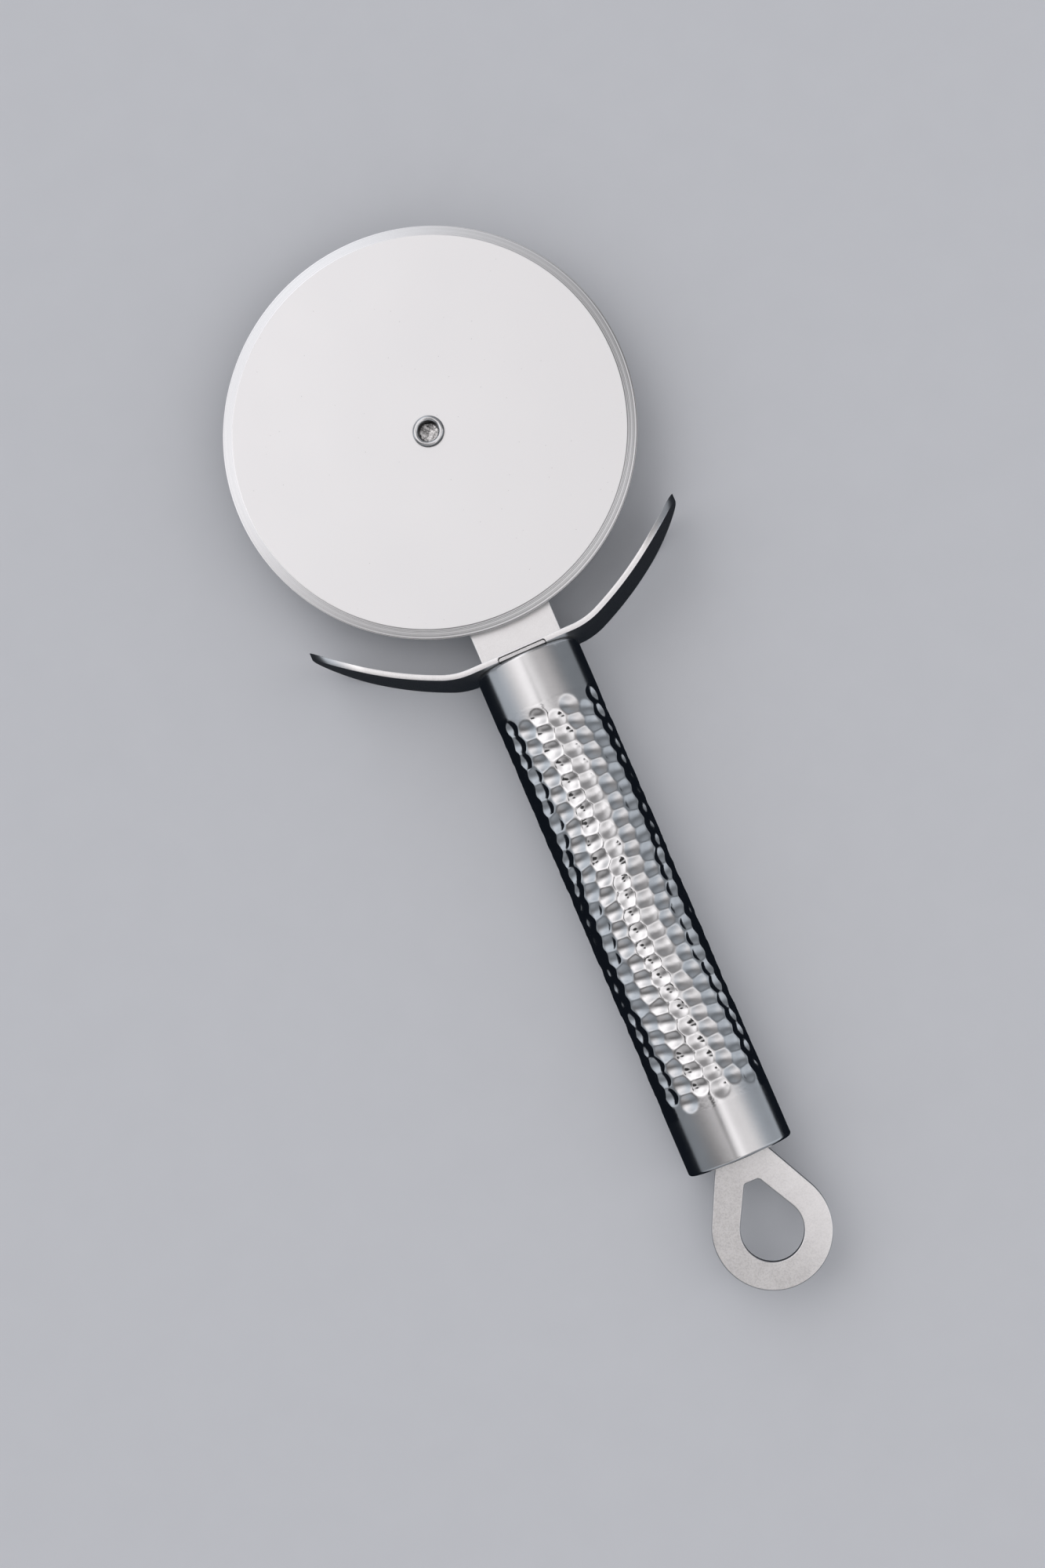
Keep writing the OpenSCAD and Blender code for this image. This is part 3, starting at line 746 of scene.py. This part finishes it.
def rivet_finish():
    """Rivet: bright where the lip is rolled smooth, with a painted shadow down its outer side and
    painted shade on the hollow's wall, and the hollow's floor mottled, with painted light on its
    side toward the handle."""
    material, t = new_material("rivet_rolled_steel")
    place, (x, y, z) = t.coordinates()
    y = y - float(WHEEL_Y)
    from_axis = (x ** 2 + y ** 2) ** 0.5
    toward_handle = x * 0.6 - y * 0.8
    floor_z = float(rivet_high[2]) - HOLLOW_DEPTH
    wall = (1 - t.step(from_axis, HOLLOW_D / 2 - 0.05, HOLLOW_D / 2 + 0.2)) \
        * t.step(z, floor_z - 0.3, floor_z)
    floor = wall * (1 - t.step(z, floor_z + 0.15, floor_z + 0.35))
    # Painted shadow down the lip's outer side, deepest toward the handle
    outer = t.step(from_axis, ROLL_D / 2 - 0.42, ROLL_D / 2 - 0.12)
    mottle = t.noise(place, 1.3, 5, 0.7)
    drawn = t.noise(place, 1.2, 3, 0.6, stretch=(1.0, 1.0, 4.0))
    lip = t.mix(grey(0.50), grey(0.80, -0.01), drawn * 0.7 + mottle * 0.3)
    lip = t.mix(lip, grey(0.12), outer * (t.step(toward_handle, -3.0, 3.0) * 0.55 + 0.35))
    # Painted light on the hollow's floor toward the handle; elsewhere the floor stays dark, a
    # painted shade, apart from its mottle
    worn = t.step(toward_handle + mottle * 2.4, 0.2, 2.6)
    floor_light = t.step(mottle, 0.36, 0.62) * 0.55 + worn * 0.45
    floor_colour = t.mix(grey(0.10), grey(0.80, 0.01), floor_light)
    # Painted shade: the hollow's wall is nearly black
    colour = t.mix(t.mix(lip, grey(0.05), wall), floor_colour, floor)
    roughness = mottle * 0.10 + wall * 0.12 + 0.10
    t.surface(colour, roughness, mottle * (floor + 0.15) + drawn * 0.1, 0.03)
    return material


def weld_finish():
    """Weld beads: ripples across the run, with straw and blue heat tints."""
    straw, blue = (0.46, 0.38, 0.26, 1), (0.22, 0.26, 0.38, 1)
    material, t = new_material("weld_tinted_steel")
    place, (x, _, _) = t.coordinates()
    phase = x * 5.0
    ripple = phase.math("SINE", phase)
    tint = t.noise(place, 0.5, 3, 0.6)
    colour = t.mix(straw, blue, t.step(tint, 0.38, 0.62))
    colour = t.mix(colour, grey(0.5), ripple * 0.2 + 0.3)
    t.surface(colour, tint * 0.2 + 0.3, ripple * 0.5 + tint, 0.08)
    return material


wheel_steel = wheel_finish()
# The neck gets a painted highlight along its upper edges
neck_steel = satin_finish(
    "neck_satin_steel", 0.95, 0.006, 0.36, 90.0, contrast=0.3, top=neck_high[2])
guard_steel = satin_finish("guard_satin_steel", 0.92, 0.006, 0.27, 0.0, contrast=0.4)
# The eye gets a painted sheen on its side toward +x and a painted highlight along its upper edges
eye_steel = satin_finish(
    "eye_satin_steel", 0.81, 0.014, 0.34, -28.0, contrast=0.85,
    worn_side=(0.080, 0.020, 0), grain=2.2, top=eye_high[2])
cap_steel = satin_finish("cap_satin_steel", 0.80, 0.0, 0.30, 90.0)
tube_steel = polished_finish()
rivet_steel = rivet_finish()
weld_steel = weld_finish()

# Pieces

for name, form, body, slot, material, node, sharp in (
        ("wheel_disc", wheel_form, "wheel", "wheel_steel", wheel_steel, "cutting_wheel", 60),
        ("rolled_rivet", rivet_form, "handle", "rivet_steel", rivet_steel, "pivot_rivet", 60),
        ("turned_washer", washer_form, "handle", "satin_steel", cap_steel, "spacer_washer", 40),
        ("neck_bar", neck_form, "handle", "satin_steel", neck_steel, "neck_plate", 40),
        ("bent_guard", guard_form, "handle", "satin_steel", guard_steel, "finger_guard", 40),
        ("hammered_tube", tube_form, "handle", "polished_steel", tube_steel, "handle_tube", 75),
        ("eye_plate", eye_form, "handle", "satin_steel", eye_steel, "hanging_eye", 40)):
    piece(name, form(), body, material, [node], sharp)

# CAD nodes that stay, with a better material
for node, material in (("front_cap", cap_steel), ("rear_cap", cap_steel),
                       ("neck_welds", weld_steel), ("eye_welds", weld_steel)):
    for material_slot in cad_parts[node].material_slots:
        material_slot.material = material

# Camera: the photograph's own, fitted to the object's measured points: place, turn and framing
camera_data = bpy.data.cameras.new("view")
camera_data.sensor_width = 36.0
camera_data.lens = 57.25
camera_data.shift_x = 0.00934
camera_data.shift_y = 0.0503
camera_data.clip_start, camera_data.clip_end = 0.01, 20
camera = bpy.data.objects.new("view", camera_data)
camera.location = (0.01451, -0.05897, 0.60535)
camera.rotation_euler = [np.radians(a) for a in (2.280, 4.953, -23.156)]
bpy.context.scene.collection.objects.link(camera)
bpy.context.scene.camera = camera

# Floor and surroundings: the photograph's right and up, as directions along the floor
RIGHT, UP = (0.920, -0.391, 0), (0.391, 0.920, 0)


def floor_disc():
    """Round pale floor: one face with many corners, which the polished steel doesn't mirror."""
    radius, corners = 6, 96
    angle = np.linspace(0, 2 * np.pi, corners, endpoint=False)
    points = np.stack([radius * np.cos(angle), radius * np.sin(angle), np.zeros(corners)], 1)
    mesh = bpy.data.meshes.new("floor")
    mesh.from_pydata(points.tolist(), [], [list(range(corners))])
    material, t = new_material("floor_pale")
    place = t.add("ShaderNodeTexCoord", output=3)
    soft = t.add("ShaderNodeTexNoise", None, {"Vector": place, "Scale": 90.0, "Detail": 3.0})
    colour = t.mix((0.76, 0.78, 0.81, 1), (0.79, 0.81, 0.84, 1), soft)
    shader = t.add("ShaderNodeBsdfPrincipled", values={"Base Color": colour, "Roughness": 0.9})
    t.add("ShaderNodeOutputMaterial", values={"Surface": shader})
    mesh.materials.append(material)
    made = bpy.data.objects.new("floor", mesh)
    bpy.context.scene.collection.objects.link(made)
    made.visible_glossy = False


def surroundings():
    """Soft studio dome, as a sum of smooth glows on a dim base. A direction's shares along the
    photograph's right and up place it: a large softbox stands up to the left, a smaller one
    overhead and a little down, walls take light on either side, and three faint fills even it out.
    Two dark cards, glows below zero, cut into them, though never below a dim least light. Two small
    dark rounds stand overhead. The dome ends a little below the horizon, lower on the right, where
    a table would be. Seen straight, it is one plain grey."""
    base, least, blend = 0.262, 0.15, 0.12
    table_from, table_to, table_tilt = -0.29, -0.21, 0.14
    table, plain = (0.006, 0.008, 0.012, 1), (0.60, 0.62, 0.65, 1)
    low_tint, high_tint = (0.93, 1.0, 1.10, 1), (1.03, 1.0, 1.015, 1)
    world = bpy.data.worlds.new("studio")
    bpy.context.scene.world = world
    t = Tree(world)
    direction = t.add("ShaderNodeTexCoord", output=0)
    right, up, height = (t.vector("DOT_PRODUCT", {0: direction, 1: axis}, output=1)
                         for axis in (RIGHT, UP, (0, 0, 1)))

    def glow(at_right, at_up, width, tall, strength):
        """Bell-shaped glow: strength times e to the minus squared distance, measured in its
        widths."""
        distance = ((right - at_right) * (1 / width)) ** 2 + ((up - at_up) * (1 / tall)) ** 2
        return strength * (np.e ** (distance * -1))

    def dark_round(at_right, at_up, inner, outer):
        """Share of the light that is left by a round dark spot: little inside it, 1 outside."""
        left = 0.03
        distance = (right - at_right) ** 2 + (up - at_up) ** 2
        return t.step(distance, inner ** 2, outer ** 2) * (1 - left) + left

    softboxes = glow(-0.36, 0.31, 0.31, 0.71, 1.07) + glow(0.16, -0.26, 0.30, 0.35, 1.13)
    walls = glow(-0.71, -0.09, 0.42, 0.30, 0.89) + glow(0.66, 0.28, 0.39, 0.44, 1.02)
    cards = glow(0.68, 0.43, 0.38, 0.28, -0.87) + glow(-0.39, -0.27, 0.52, 0.30, -0.90)
    fills = glow(-0.12, 0.18, 0.22, 0.16, 0.14) + glow(0.14, 0.00, 0.10, 0.12, 0.25) \
        + glow(-0.35, -0.65, 0.50, 0.25, 0.18)
    level = softboxes + walls + fills + cards + base
    level = level.math("SMOOTH_MAX", level, least, blend)
    level = level * dark_round(0.05, -0.30, 0.10, 0.14) * dark_round(-0.13, -0.03, 0.07, 0.105)
    tint = t.mix(low_tint, high_tint, t.step(height, 0.2, 0.85))
    dome = t.vector("SCALE", {0: tint, "Scale": level})
    above = t.step(height + right * table_tilt, table_from, table_to)
    dome = t.mix(table, dome, above)
    seen = t.add("ShaderNodeLightPath", output=0)
    colour = t.mix(dome, plain, seen)
    background = t.add("ShaderNodeBackground", values={"Color": colour, "Strength": 1.0})
    t.add("ShaderNodeOutputWorld", values={"Surface": background})


floor_disc()
surroundings()
bpy.context.scene.view_settings.view_transform = "Standard"

bpy.context.view_layer.update()
